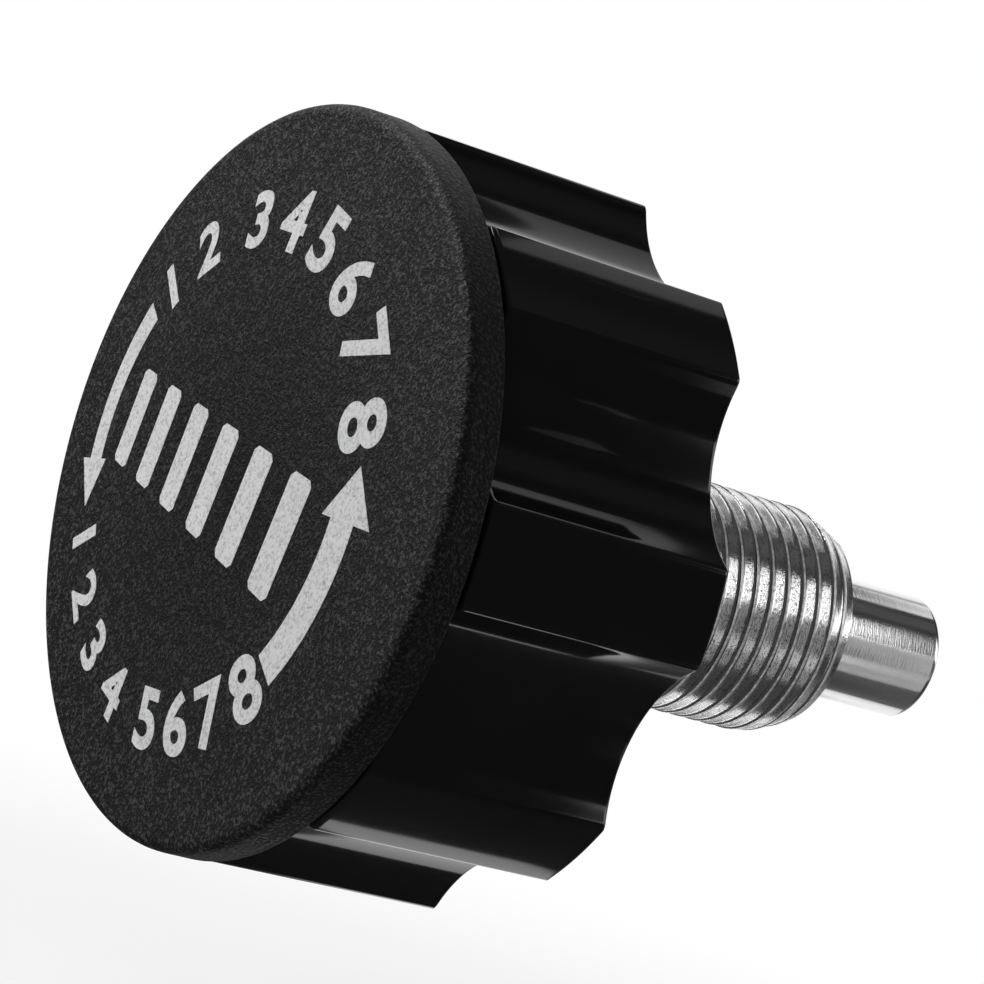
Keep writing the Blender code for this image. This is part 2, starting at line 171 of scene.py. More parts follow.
def zinc(name, level, scratch_along, crest_wear_and_highlight=None):
    """Bright zinc plate on steel: soft clouds, fine crystals and faint tool marks.

    Where the mesh's attribute named by the last argument is high, the plate is rougher, as rubbed plate
    is, and painted pale as a highlight along the crests."""
    plate = Finish(name)
    clouds = plate.noise(420.0, 3.0)
    crystals = plate.noise(6500.0, 2.0)
    marks = plate.noise(2600.0, 3.0, scratch_along)
    tone = plate.blend(clouds, (level * 0.85,) * 3, (level, level, level * 1.01))
    stain = plate.ramp(marks, [(0.3, 0.0), (0.48, 1.0)])
    tone = plate.blend(stain, (level * 0.62,) * 3, tone)
    skin = plate.bump(crystals, 0.25, 0.00002)
    skin = plate.bump(marks, 0.3, 0.00003, skin)
    rough = 0.1 + clouds * 0.12
    if crest_wear_and_highlight is not None:
        rubbed_and_lit = plate.add("ShaderNodeAttribute", {"attribute_name": crest_wear_and_highlight}, output="Fac")
        # Painted highlight: where the attribute is high, the plate is painted near white in beads and made
        # less metallic, to show the light that the crests catch. The added roughness there is the plate's
        # rubbing.
        highlight_beads = plate.ramp(plate.noise(3200.0, 2.0), [(0.38, 0.0), (0.6, 1.0)])
        pits = plate.ramp(plate.noise(4600.0, 2.0), [(0.58, 0.0), (0.68, 1.0)])
        tone = plate.blend(pits, tone, (level * 0.4,) * 3)
        tone = plate.blend(rubbed_and_lit, tone, plate.blend(highlight_beads, (0.5, 0.5, 0.5), (1.0, 1.0, 1.0)))
        rough = rough + rubbed_and_lit * 0.25
        plate.set(Metallic=1.0 - rubbed_and_lit * 0.8)
    else:
        plate.set(Metallic=1.0)
    return plate.set(Base_Color=tone, Roughness=rough, Normal=skin)


def show(name, mesh, material=None, sharp_degrees=40.0):
    """Put a mesh in the scene as an object at the origin, smooth but for its sharp edges."""
    mesh.shade_smooth()
    mesh.set_sharp_from_angle(angle=math.radians(sharp_degrees))
    if material is not None:
        mesh.materials.append(material)
    piece = bpy.data.objects.new(name, mesh)
    bpy.context.scene.collection.objects.link(piece)
    return piece


def eased(corners, steps=6):
    """A closed outline of (radius, y, easing) corners with each corner rounded off.

    A point just beyond each end of a rounding keeps its shading off the flat sides."""
    hold = 0.00004
    outline = []
    for k, (radius, y, easing) in enumerate(corners):
        corner = Vector((radius, y))
        if easing == 0.0:
            outline.append((radius, y))
            continue
        before = (Vector(corners[k - 1][:2]) - corner).normalized()
        after = (Vector(corners[(k + 1) % len(corners)][:2]) - corner).normalized()
        cut = easing / math.tan(0.5 * before.angle(after))
        arc = [step / steps for step in range(steps + 1)]
        points = [corner + before * cut * (1.0 - t) ** 2 + after * cut * t**2 for t in arc]
        points = [corner + before * (cut + hold), *points, corner + after * (cut + hold)]
        outline += [tuple(point) for point in points]
    return outline


def even_columns(count):
    return np.arange(count) * math.tau / count


def stacked(name, rings, columns):
    """A closed mesh through rings of (radius, y) about Y, joined last to first where it has a bore.

    A ring's radius is one number, or one for each of the columns' angles."""
    bored = np.min(rings[0][0]) > 0.0
    count = len(columns)
    points = []
    for radius, y in rings:
        radii = np.broadcast_to(radius, count)
        points += zip(radii * np.cos(columns), np.full(count, y), radii * np.sin(columns))
    faces = []
    for ring in range(len(rings) if bored else len(rings) - 1):
        low, high = ring * count, (ring + 1) % len(rings) * count
        for k in range(count):
            following = (k + 1) % count
            faces.append((low + k, low + following, high + following, high + k))
    mesh = bpy.data.meshes.new(name)
    mesh.from_pydata([tuple(map(float, point)) for point in points], [], faces)
    bm = bmesh.new()
    bm.from_mesh(mesh)
    bmesh.ops.remove_doubles(bm, verts=bm.verts, dist=1e-7)
    bmesh.ops.recalc_face_normals(bm, faces=bm.faces)
    bm.to_mesh(mesh)
    bm.free()
    return mesh


def new_tree(name, sizes):
    """An empty Geometry Nodes tree with one named input for each size."""
    tree = bpy.data.node_groups.new(name, "GeometryNodeTree")
    tree.interface.new_socket("Geometry", in_out="OUTPUT", socket_type="NodeSocketGeometry")
    for size, value in sizes.items():
        kind = "NodeSocketInt" if isinstance(value, int) else "NodeSocketFloat"
        tree.interface.new_socket(size, in_out="INPUT", socket_type=kind)
    board = Board(tree)
    source = tree.nodes.new("NodeGroupInput")
    return board, {size: Wire(board, source.outputs[size]) for size in sizes}


def finish_tree(board, shape, material):
    """End a tree in smooth, real faces with the material on them."""
    shape = board.add("GeometryNodeRealizeInstances", None, {0: shape})
    shape = board.add("GeometryNodeSetMaterial", None, {0: shape, "Material": material})
    board.tree.links.new(shape.socket, board.tree.nodes.new("NodeGroupOutput").inputs[0])


def grown(name, board, sizes, sharp_degrees=40.0):
    """A plain mesh object made by a tree, with the modifier's inputs set by identifier."""
    seed = bpy.data.objects.new(name + "_seed", bpy.data.meshes.new(name + "_seed"))
    bpy.context.scene.collection.objects.link(seed)
    modifier = seed.modifiers.new("shape", "NODES")
    modifier.node_group = board.tree
    for item in board.tree.interface.items_tree:
        if item.name in sizes:
            modifier[item.identifier] = sizes[item.name]
    depsgraph = bpy.context.evaluated_depsgraph_get()
    mesh = bpy.data.meshes.new_from_object(seed.evaluated_get(depsgraph))
    seed.modifiers.remove(modifier)
    bpy.data.objects.remove(seed)
    mesh.name = name
    return show(name, mesh, sharp_degrees=sharp_degrees)


HEAD_REAR_Y = -0.0146
HEAD_FRONT_Y = -0.0066
UNDERCUT_END_Y = -0.0015
SLEEVE_END_Y = 0.0263
GUIDE_RADIUS = 0.00502
CHAMBER_RADIUS = 0.0065
CHAMBER_END_Y = 0.0115
THREAD = {
    "Major Radius": 0.009,
    "Inner Radius": 0.0068,
    "Pitch": 0.0015,
    "Groove Depth": 0.00013,
    "Groove Sharpness": 8.0,
    "Crest Share": 0.17,
    "Seam Share": 0.55,
    "Seam Depth": 0.00001,
    "Wear And Highlight Start": 0.85,
    "Wear And Highlight Sharpness": 16.0,
    "Nick Scale": 2300.0,
    "Nick Height": 0.00002,
    "Worn Nick Height": 0.00004,
    "Crest Y": 0.0012,
    "Start Y": -0.003,
    "End Y": SLEEVE_END_Y,
    "Run-in Radius": 0.0079,
    "Run-in Y": UNDERCUT_END_Y - 0.0011,
    "Chamfer": 0.0011,
    "Chamfer Slope": 0.38,
    "Rows": 620,
    "Columns": 128,
}


def thread_tree(material):
    """A grid rolled round Y into a closed tube, whose outer rows climb one pitch a turn."""
    board, size = new_tree("thread", THREAD)
    counts = {"Vertices X": size["Columns"] + 1, "Vertices Y": size["Rows"] + 1}
    grid = board.add("GeometryNodeMeshGrid", None, {"Size X": 1.0, "Size Y": 1.0, **counts})
    across, along, _ = board.parts_of(board.add("GeometryNodeInputPosition"))
    turn = across + 0.5
    row = (along + 0.5) * size["Rows"]
    climb = size["End Y"] - size["Start Y"] + size["Pitch"]
    level = size["Start Y"] - size["Pitch"] + (along + 0.5) * climb
    y = board.maths("MAXIMUM", level + size["Pitch"] * turn, size["Start Y"])
    y = board.maths("MINIMUM", y, size["End Y"])

    pitches = (y - size["Crest Y"]) / size["Pitch"] - turn
    from_groove = board.maths("ABSOLUTE", board.maths("FRACT", pitches) * 2.0 - 1.0)
    flank = board.clamp(from_groove / (1.0 - size["Crest Share"]))
    crest = board.clamp(1.0 - (1.0 - from_groove) / (size["Crest Share"] * size["Seam Share"]))
    # The crests' mask raises the wear nicks, and it is stored for the painted highlight along the crests.
    crest_wear_and_highlight = board.clamp((from_groove - size["Wear And Highlight Start"]) * size["Wear And Highlight Sharpness"])
    run_out = size["Major Radius"] - size["Chamfer"] + (size["End Y"] - y) * size["Chamfer Slope"]
    blank = board.maths("MINIMUM", size["Major Radius"], run_out)
    groove = size["Groove Depth"] * (1.0 - flank ** size["Groove Sharpness"])
    thread = blank - groove - size["Seam Depth"] * crest
    run_in = size["Run-in Radius"] + board.maths("MAXIMUM", y - size["Run-in Y"], 0.0)
    radius = board.maths("MINIMUM", thread, run_in)

    angle = turn * -math.tau
    cos, sin = board.maths("COSINE", angle), board.maths("SINE", angle)
    spot = board.add("ShaderNodeCombineXYZ", None, {0: radius * cos, 1: y, 2: radius * sin})
    texture = {"Vector": spot, "Scale": size["Nick Scale"], "Detail": 3.0}
    nicks = board.add("ShaderNodeTexNoise", None, texture)
    radius = radius + (nicks - 0.5) * (size["Nick Height"] + crest_wear_and_highlight * size["Worn Nick Height"])
    is_first = board.maths("LESS_THAN", row, 0.5)
    is_inner = board.maths("LESS_THAN", row, 1.5) + board.maths("GREATER_THAN", row, size["Rows"] - 0.5)
    radius = radius + is_inner * (size["Inner Radius"] - radius)
    y = y + is_first * (size["End Y"] - y)
    spot = board.add("ShaderNodeCombineXYZ", None, {0: radius * cos, 1: y, 2: radius * sin})
    grid = board.add("GeometryNodeStoreNamedAttribute", None, {0: grid, "Name": "crest", "Value": crest_wear_and_highlight})
    skin = board.add("GeometryNodeSetPosition", None, {0: grid, "Position": spot})
    skin = board.add("GeometryNodeMergeByDistance", None, {0: skin, "Distance": 2e-7})
    finish_tree(board, skin, material)
    return board


thread_zinc = zinc("thread_zinc", 0.72, (1.0, 6.0, 1.0), "crest")
sleeve_thread = grown("sleeve_thread", thread_tree(thread_zinc), THREAD)

HEX_APOTHEM = 0.011
HEX_CORNER = HEX_APOTHEM / math.cos(math.pi / 6.0)
HEX_CHAMFER = 0.0012
CHAMFER_SLANT = 1.6
HEAD_EDGE = 0.0003
GUIDE_LEAD = 0.0004
TUCK = 0.00002
RETAINER_SEAT_Y = -0.0103
RETAINER_BORE_STEP = 0.001
head_columns = even_columns(192)


def hexagon(apothem, columns, limit=math.inf):
    """Radii of a hexagon with a corner on +X, cut back to a limit."""
    within = (columns % (math.pi / 3.0)) - math.pi / 6.0
    return np.minimum(apothem / np.cos(within), limit)


def chamfered(apothem, columns, rear_y, depth, steps):
    """Rings of (radii, y) whose corners are turned away towards the rear of a hexagon."""
    corner = apothem / math.cos(math.pi / 6.0)
    rings = []
    for step in range(steps + 1):
        into = depth * step / steps
        limit = corner - CHAMFER_SLANT * (depth - into)
        rings.append((hexagon(apothem, columns, limit), rear_y + into))
    return rings


def head_rings():
    """The head, undercut, end face and bore of the sleeve, from the outside of the head."""
    rings = chamfered(HEX_APOTHEM, head_columns, HEAD_REAR_Y, HEX_CHAMFER, 6)
    rings.append((hexagon(HEX_APOTHEM, head_columns), HEAD_FRONT_Y - HEAD_EDGE))
    rings.append((hexagon(HEX_APOTHEM - HEAD_EDGE, head_columns), HEAD_FRONT_Y))
    neck = THREAD["Run-in Radius"] + TUCK
    neck_end = THREAD["Start Y"] + 0.0004
    core = THREAD["Inner Radius"] + 0.0001
    end_y = SLEEVE_END_Y - TUCK
    inside = [
        (neck, HEAD_FRONT_Y, 0.0005),
        (neck, neck_end, 0.0),
        (core, neck_end, 0.0),
        (core, end_y, 0.0),
        (GUIDE_RADIUS + GUIDE_LEAD, end_y, 0.0001),
        (GUIDE_RADIUS, SLEEVE_END_Y - GUIDE_LEAD, 0.0001),
        (GUIDE_RADIUS, CHAMBER_END_Y, 0.0),
        (CHAMBER_RADIUS, CHAMBER_END_Y, 0.0002),
        (CHAMBER_RADIUS, RETAINER_SEAT_Y, 0.0),
        (CHAMBER_RADIUS + RETAINER_BORE_STEP, RETAINER_SEAT_Y, 0.0),
        (CHAMBER_RADIUS + RETAINER_BORE_STEP, HEAD_REAR_Y, 0.0),
    ]
    return rings + eased(inside)


head_zinc = zinc("head_zinc", 0.66, (1.0, 1.0, 1.0))
sleeve_head = show("sleeve_head", stacked("sleeve_head", head_rings(), head_columns), head_zinc)
for piece in (sleeve_thread, sleeve_head):
    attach(piece, "sleeve")
    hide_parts("threaded_sleeve")


# Spring retainer: a turned steel bush pressed into the rear of the sleeve's head. The spring
# pushes against it, and the pin's shaft passes through it.

RETAINER_FRONT_Y = -0.0106
RETAINER_RADIUS = 0.00735
SHAFT_HOLE_RADIUS = 0.0033
retainer_outline = [
    (SHAFT_HOLE_RADIUS, HEAD_REAR_Y, 0.0002),
    (RETAINER_RADIUS, HEAD_REAR_Y, 0.0003),
    (RETAINER_RADIUS, RETAINER_FRONT_Y, 0.0002),
    (SHAFT_HOLE_RADIUS, RETAINER_FRONT_Y, 0.0002),
]


def turned(name, level, rough, turns_scale):
    """Bare turned steel with fine rings left by the tool."""
    steel = Finish(name)
    rings = steel.noise(turns_scale, 2.0, (0.15, 1.0, 0.15))
    clouds = steel.noise(300.0, 2.0)
    tone = steel.blend(clouds, (level * 0.85,) * 3, (level,) * 3)
    skin = steel.bump(rings, 0.3, 0.00002)
    return steel.set(Base_Color=tone, Metallic=1.0, Roughness=rough + clouds * 0.1, Normal=skin)


spring_retainer = show(
    "retainer_bush",
    stacked("retainer_bush", eased(retainer_outline), even_columns(96)),
    turned("turned_bush", 0.55, 0.28, 6000.0),
)
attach(spring_retainer, "sleeve")
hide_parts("spring_retainer")


# Return spring: hard-drawn wire coiled with closed ends. It sits in the sleeve's chamber
# between the retainer and the pin's collar, and shortens when the knob is pulled.

SPRING_SEAT_Y = RETAINER_SEAT_Y
WIRE_RADIUS = 0.0005
SPRING = {
    "Wire Radius": WIRE_RADIUS,
    "Coil Radius": 0.0051,
    "Low": SPRING_SEAT_Y + WIRE_RADIUS,
    "High": 0.0079,
    "Turns": 6.5,
    "Closed Rise": 0.00115,
    "Points": 520,
}


def spring_tree(material):
    """A wire along a helix whose first and last turns lie close together."""
    board, size = new_tree("spring", SPRING)
    line = board.add("GeometryNodeMeshLine", None, {"Count": size["Points"]})
    share = board.add("GeometryNodeInputIndex") / (size["Points"] - 1)
    turn = share * size["Turns"]
    lead = board.maths("MINIMUM", turn, 1.0)
    tail = board.maths("MAXIMUM", turn - (size["Turns"] - 1.0), 0.0)
    open_rise = (size["High"] - size["Low"] - size["Closed Rise"] * 2.0) / (size["Turns"] - 2.0)
    y = size["Low"] + (lead + tail) * size["Closed Rise"] + (turn - lead - tail) * open_rise
    x = size["Coil Radius"] * board.maths("COSINE", turn * math.tau)
    z = size["Coil Radius"] * board.maths("SINE", turn * math.tau)
    spot = board.add("ShaderNodeCombineXYZ", None, {0: x, 1: y, 2: z})
    line = board.add("GeometryNodeSetPosition", None, {0: line, "Position": spot})
    path = board.add("GeometryNodeMeshToCurve", None, {0: line})
    round_wire = board.add(
        "GeometryNodeCurvePrimitiveCircle", None, {"Resolution": 12, "Radius": size["Wire Radius"]}
    )
    coil = board.add("GeometryNodeCurveToMesh", None, {0: path, 1: round_wire, "Fill Caps": True})
    finish_tree(board, coil, material)
    return board


spring_coil = grown("spring_coil", spring_tree(turned("drawn_wire", 0.45, 0.3, 2500.0)), SPRING)
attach(spring_coil, "sleeve")
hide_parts("return_spring")
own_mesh(spring_coil)


# Lock pin: bright ground steel with a rounded nose. A collar takes the spring's push, and the
# thin shaft behind it ends in a threaded tail that carries the knob.

NOSE_RADIUS = 0.00487
NOSE_EDGE = 0.0006
COLLAR_RADIUS = 0.0062
SHAFT_RADIUS = 0.003
TAIL_RADIUS = 0.0025
TIP_Y = 0.0377
COLLAR_FRONT_Y = 0.0112
COLLAR_REAR_Y = 0.0087
TAIL_END_Y = -0.0223
pin_outline = [
    (0.0, TIP_Y, 0.0),
    (NOSE_RADIUS, TIP_Y, NOSE_EDGE),
    (NOSE_RADIUS, COLLAR_FRONT_Y, 0.0),
    (COLLAR_RADIUS, COLLAR_FRONT_Y, 0.0002),
    (COLLAR_RADIUS, COLLAR_REAR_Y, 0.0002),
    (SHAFT_RADIUS, COLLAR_REAR_Y, 0.0002),
    (SHAFT_RADIUS, HEAD_REAR_Y, 0.0001),
    (TAIL_RADIUS, HEAD_REAR_Y, 0.0001),
    (TAIL_RADIUS, TAIL_END_Y, 0.0003),
    (0.0, TAIL_END_Y, 0.0),
]


def ground_steel():
    """Centreless-ground bar: very fine rings, streaks along the bar and a few dull patches."""
    steel = Finish("ground_steel")
    rings = steel.noise(9000.0, 2.0, (0.1, 1.0, 0.1))
    streaks = steel.noise(700.0, 3.0, (1.0, 0.12, 1.0))
    patches = steel.noise(260.0, 3.0)
    tone = steel.blend(streaks, (0.45, 0.45, 0.45), (0.8, 0.8, 0.81))
    skin = steel.bump(rings, 0.18, 0.00002)
    skin = steel.bump(streaks, 0.12, 0.00004, skin)
    rough = 0.1 + patches * 0.08
    return steel.set(Base_Color=tone, Metallic=1.0, Roughness=rough, Normal=skin)


pin_bar = show("pin_bar", stacked("pin_bar", eased(pin_outline, 8), even_columns(128)), ground_steel())
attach(pin_bar, "knob")
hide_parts("lock_pin")


# Knob body: one polished black moulding. Eight flutes make the grip, and behind the skirt
# eight ribs tie the wall to the hub, whose hexagon socket drives the sleeve.

LOBES = 8
HALF_LOBE = math.pi / LOBES
LAND_RADIUS = 0.02785
FLUTE_RADIUS = 0.368 * LAND_RADIUS
FLUTE_BOTTOM = (1.0 - 0.131) * LAND_RADIUS
FLUTE_CENTRE = FLUTE_BOTTOM + FLUTE_RADIUS
CORNER_BLEND = 0.0004
MOULD_DRAFT = 0.00025
BODY_FRONT_Y = -0.021
SHOULDER_Y = -0.0208
POCKET_FLOOR_Y = -0.0177
PLATE_BACK_Y = -0.0151
SOCKET_FLOOR_Y = -0.0149
SEAM_DEPTH = 0.0009
KNOB_WALL = 0.0026
POCKET_RADIUS = FLUTE_BOTTOM - KNOB_WALL
SOCKET_CLEARANCE = 0.00025
SOCKET_LEAD = 0.0006
SOCKET_APOTHEM = (HEX_CORNER + SOCKET_CLEARANCE) * math.cos(math.pi / 6.0)
HUB_RADIUS = HEX_CORNER + SOCKET_CLEARANCE + KNOB_WALL
HUB_DROP = 0.0005
HUB_EDGE = 0.0003
TAIL_HOLE_RADIUS = 0.0028
FRONT_EDGE = 0.0004
BACK_EDGE = 0.0002
INNER_EDGE = 0.0003
FLOOR_EDGE = 0.0006


def knob_columns():
    """Angles round the knob, close together at the lands' corners, with the socket's corners."""
    land = np.linspace(0.0, 0.10, 5)
    corner = np.linspace(0.105, 0.165, 13)
    flute = np.linspace(0.175, HALF_LOBE, 20)
    half = np.concatenate([land, corner, flute])
    lobe = np.concatenate([half, 2.0 * HALF_LOBE - half[-2:0:-1]])
    round_knob = [lobe + 2.0 * HALF_LOBE * k for k in range(LOBES)]
    corners = np.arange(6) * math.pi / 3.0
    return np.unique(np.round(np.concatenate([*round_knob, corners]), 7))


def fluted(inset, columns):
    """Distance from the axis to the knob's outline at each angle, moved inwards by an inset."""
    land = LAND_RADIUS - inset
    flute = FLUTE_RADIUS + inset
    from_flute = columns % (2.0 * HALF_LOBE) - HALF_LOBE
    reach = np.maximum(flute**2 - (FLUTE_CENTRE * np.sin(from_flute)) ** 2, 0.0)
    hollow = np.where(reach > 0.0, FLUTE_CENTRE * np.cos(from_flute) - np.sqrt(reach), land + CORNER_BLEND)
    overlap = np.maximum(CORNER_BLEND - abs(land - hollow), 0.0) / CORNER_BLEND
    return np.minimum(land, hollow) - overlap**2 * CORNER_BLEND / 4.0


def quarter_turn(steps):
    return [0.5 * math.pi * step / steps for step in range(steps + 1)]


def knob_rings(columns):
    """The moulding's surface from the pocket behind the cap, over the grip, to the socket."""
    rings = [(TAIL_HOLE_RADIUS, SOCKET_FLOOR_Y), (TAIL_HOLE_RADIUS, POCKET_FLOOR_Y)]
    rings += [(POCKET_RADIUS, POCKET_FLOOR_Y), (POCKET_RADIUS, BODY_FRONT_Y)]
    rings += [(fluted(SEAM_DEPTH, columns), BODY_FRONT_Y), (fluted(SEAM_DEPTH, columns), SHOULDER_Y)]
    for a in quarter_turn(6):
        inset = FRONT_EDGE * (1.0 - math.sin(a))
        rings.append((fluted(inset, columns), SHOULDER_Y + FRONT_EDGE * (1.0 - math.cos(a))))
    # These two keep the shading of the rounded edges off the grip.
    rings.append((fluted(0.0, columns), SHOULDER_Y + 1.3 * FRONT_EDGE))
    rings.append((fluted(MOULD_DRAFT, columns), -1.6 * BACK_EDGE))
    for a in quarter_turn(8):
        inset = MOULD_DRAFT + BACK_EDGE * (1.0 - math.cos(a))
        rings.append((fluted(inset, columns), -BACK_EDGE * (1.0 - math.sin(a))))
    for a in quarter_turn(4):
        inset = KNOB_WALL - INNER_EDGE * (1.0 - math.sin(a))
        rings.append((fluted(inset, columns), -INNER_EDGE * (1.0 - math.cos(a))))
    rings += [
        (fluted(KNOB_WALL, columns), PLATE_BACK_Y + FLOOR_EDGE),
        (fluted(KNOB_WALL + FLOOR_EDGE, columns), PLATE_BACK_Y),
        (HUB_RADIUS + FLOOR_EDGE, PLATE_BACK_Y),
        (HUB_RADIUS, PLATE_BACK_Y + FLOOR_EDGE),
        (HUB_RADIUS, -HUB_DROP - HUB_EDGE),
        (HUB_RADIUS - HUB_EDGE, -HUB_DROP),
        (hexagon(SOCKET_APOTHEM + SOCKET_LEAD, columns), -HUB_DROP),
        (hexagon(SOCKET_APOTHEM, columns), -HUB_DROP - SOCKET_LEAD),
        (hexagon(SOCKET_APOTHEM, columns), SOCKET_FLOOR_Y),
    ]
    return rings


def gloss_moulding():
    """Polished black plastic: faint flow waves, a little haze and a few hairline scratches."""
    plastic = Finish("gloss_moulding")
    waves = plastic.noise(90.0, 1.0, (1.0, 0.35, 1.0))
    haze = plastic.noise(160.0, 4.0)
    hair = plastic.noise(900.0, 4.0, (1.0, 0.06, 1.0))
    scratches = plastic.ramp(hair, [(0.66, 0.0), (0.7, 1.0)])
    tone = plastic.blend(haze, (0.0065, 0.0065, 0.007), (0.0095, 0.0095, 0.01))
    skin = plastic.bump(waves, 0.04, 0.0004)
    skin = plastic.bump(scratches, 0.05, 0.00001, skin)
    rough = 0.05 + haze * 0.05 + scratches * 0.1
    return plastic.set(Base_Color=tone, Roughness=rough, Normal=skin, Specular_IOR_Level=0.32)


grip_plastic = gloss_moulding()
grip_columns = knob_columns()
knob_mesh = stacked("knob_moulding", knob_rings(grip_columns), grip_columns)
knob_moulding = show("knob_moulding", knob_mesh, grip_plastic, 30.0)
RIB_ROOT = 0.0013
RIBS = {
    "Count": LOBES,
    "Inner": HUB_RADIUS - RIB_ROOT,
    "Outer": POCKET_RADIUS + RIB_ROOT,
    "Low": PLATE_BACK_Y - RIB_ROOT,
    "High": -0.002,
    "Thickness": 0.0016,
}


def rib_tree(material):
    """One flat rib, repeated round the hub, each behind a flute."""
    board, size = new_tree("ribs", RIBS)
    wide = size["Outer"] - size["Inner"]
    tall = size["High"] - size["Low"]
    extent = board.add("ShaderNodeCombineXYZ", None, {0: wide, 1: tall, 2: size["Thickness"]})
    plate = board.add("GeometryNodeMeshCube", None, {"Size": extent})
    middle = (size["Inner"] + size["Outer"]) * 0.5
    spot = board.add("ShaderNodeCombineXYZ", None, {0: middle, 1: (size["Low"] + size["High"]) * 0.5})
    plate = board.add("GeometryNodeTransform", None, {0: plate, "Translation": spot})
    points = board.add("GeometryNodePoints", None, {"Count": size["Count"]})
    turn = (board.add("GeometryNodeInputIndex") + 0.5) * math.tau / size["Count"]
    turned_by = board.add("ShaderNodeCombineXYZ", None, {1: turn})
    places = {0: points, "Instance": plate, "Rotation": turned_by}
    finish_tree(board, board.add("GeometryNodeInstanceOnPoints", None, places), material)
    return board


knob_ribs = grown("knob_ribs", rib_tree(grip_plastic), RIBS)
for piece in (knob_moulding, knob_ribs):
    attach(piece, "knob")
    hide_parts("knob_body")


# Washer and thin nut: zinc-plated steel on the pin's tail, inside the knob, where they clamp
# the moulding to the pin.

WASHER_FRONT_Y = -0.019
WASHER_BACK_Y = WASHER_FRONT_Y + 0.001
WASHER_RADIUS = 0.0075
washer_outline = [
    (TAIL_HOLE_RADIUS, WASHER_FRONT_Y, 0.0001),
    (WASHER_RADIUS, WASHER_FRONT_Y, 0.0002),
    (WASHER_RADIUS, WASHER_BACK_Y, 0.0001),
    (TAIL_HOLE_RADIUS, WASHER_BACK_Y, 0.0001),
]
NUT_APOTHEM = 0.004
NUT_BORE = 0.00265
NUT_LEAD = 0.0002
NUT_CHAMFER = 0.0004
NUT_FRONT_Y = -0.022
NUT_BACK_Y = NUT_FRONT_Y + 0.0027
small_columns = even_columns(96)
nut_rings = [
    (NUT_BORE, NUT_BACK_Y),
    (NUT_BORE, NUT_FRONT_Y + NUT_LEAD),
    (NUT_BORE + NUT_LEAD, NUT_FRONT_Y),
    *chamfered(NUT_APOTHEM, small_columns, NUT_FRONT_Y, NUT_CHAMFER, 4),
    (hexagon(NUT_APOTHEM, small_columns), NUT_BACK_Y),
]
fastener_zinc = zinc("fastener_zinc", 0.6, (1.0, 1.0, 1.0))
washer_mesh = stacked("tail_washer", eased(washer_outline, 3), small_columns)
tail_washer = show("tail_washer", washer_mesh, fastener_zinc)
tail_nut = show("tail_nut", stacked("tail_nut", nut_rings, small_columns), fastener_zinc)
for piece, node in ((tail_washer, "pin_washer"), (tail_nut, "pin_nut")):
    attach(piece, "knob")
    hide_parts(node)


# Face cap: a black disc moulded with a fine spark-eroded grain, snapped into the front of the
# body by the ring behind it. Its face lies a hair below the print.

INK = 0.00003
FACE_Y = -0.0245
CAP_RADIUS = 0.028
CAP_BACK_Y = -0.0213
CAP_EDGE = 0.0009
CAP_WEB_Y = FACE_Y + 0.0018
SEAT_GAP = 0.0003
SPIGOT_RADIUS = POCKET_RADIUS - SEAT_GAP
SPIGOT_BORE = SPIGOT_RADIUS - 0.0016
SPIGOT_END_Y = POCKET_FLOOR_Y - SEAT_GAP
cap_outline = [
    (0.0, FACE_Y + INK, 0.0),
    (CAP_RADIUS, FACE_Y + INK, CAP_EDGE),
    (CAP_RADIUS, CAP_BACK_Y, 0.00015),
    (SPIGOT_RADIUS, CAP_BACK_Y, 0.0),
    (SPIGOT_RADIUS, SPIGOT_END_Y, 0.0002),
    (SPIGOT_BORE, SPIGOT_END_Y, 0.0002),
    (SPIGOT_BORE, CAP_WEB_Y, 0.0002),
    (0.0, CAP_WEB_Y, 0.0),
]


def grain(board):
    """Height of the spark-eroded grain: small rounded pits of a quarter of a millimetre."""
    coarse = board.noise(3700.0, 2.0)
    fine = board.noise(8000.0, 1.0)
    return coarse * 0.7 + fine * 0.3


def grained_plastic():
    """Matt black plastic: pale tops on its grain, partly painted highlight, and painted shade that darkens
    the middle of the face and its rim.
    """
    plastic = Finish("grained_plastic")
    height = grain(plastic)
    # The grain's tops are painted paler. This is part grain tone and part painted highlight, which stands
    # in for the sheen that the grain catches.
    tops = plastic.ramp(height, [(0.5, 0.0), (0.64, 1.0)])
    blotches = plastic.noise(70.0, 3.0)
    low = plastic.blend(blotches, (0.006, 0.006, 0.0064), (0.011, 0.011, 0.0115))
    tone = plastic.blend(tops, low, (0.062, 0.062, 0.0635))
    # Painted shade: the colour is darkened in the middle of the face and over its rim, with the full tone
    # in a ring between them.
    radius = plastic.radius() * 30.0
    painted_shade_ramp = plastic.ramp(radius, [(0.05, 0.35), (0.72, 1.0), (0.832, 1.0), (0.84, 0.45)])
    tone = plastic.blend(painted_shade_ramp, (0.003, 0.003, 0.0032), tone)
    rough = 0.6 - tops * 0.16
    skin = plastic.bump(height, 1.0, 0.0002)
    return plastic.set(Base_Color=tone, Roughness=rough, Normal=skin, Specular_IOR_Level=0.16)


cap_mesh = stacked("face_disc", eased(cap_outline, 8), even_columns(256))
face_disc = show("face_disc", cap_mesh, grained_plastic(), 50.0)
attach(face_disc, "knob")
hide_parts("face_cap")


# Print: light grey ink pad-printed over the grain. Two arrows show the way to turn, with plain
# dial figures between them and a row of bars across the middle.

FIGURE_TOP = 0.02165
FIGURE_FOOT = 0.01704
FIGURE_STRETCH = 1.12
FIGURE_WEIGHT = 0.028
ARROW_INNER = 0.0182
ARROW_OUTER = 0.0206
ARROW_TIP = 0.0199
BARB_INNER = 0.0172
BARB_OUTER = 0.0222
LEAN_X, LEAN_Z = -0.2413, -0.0188
LEAN = math.hypot(LEAN_X, LEAN_Z)


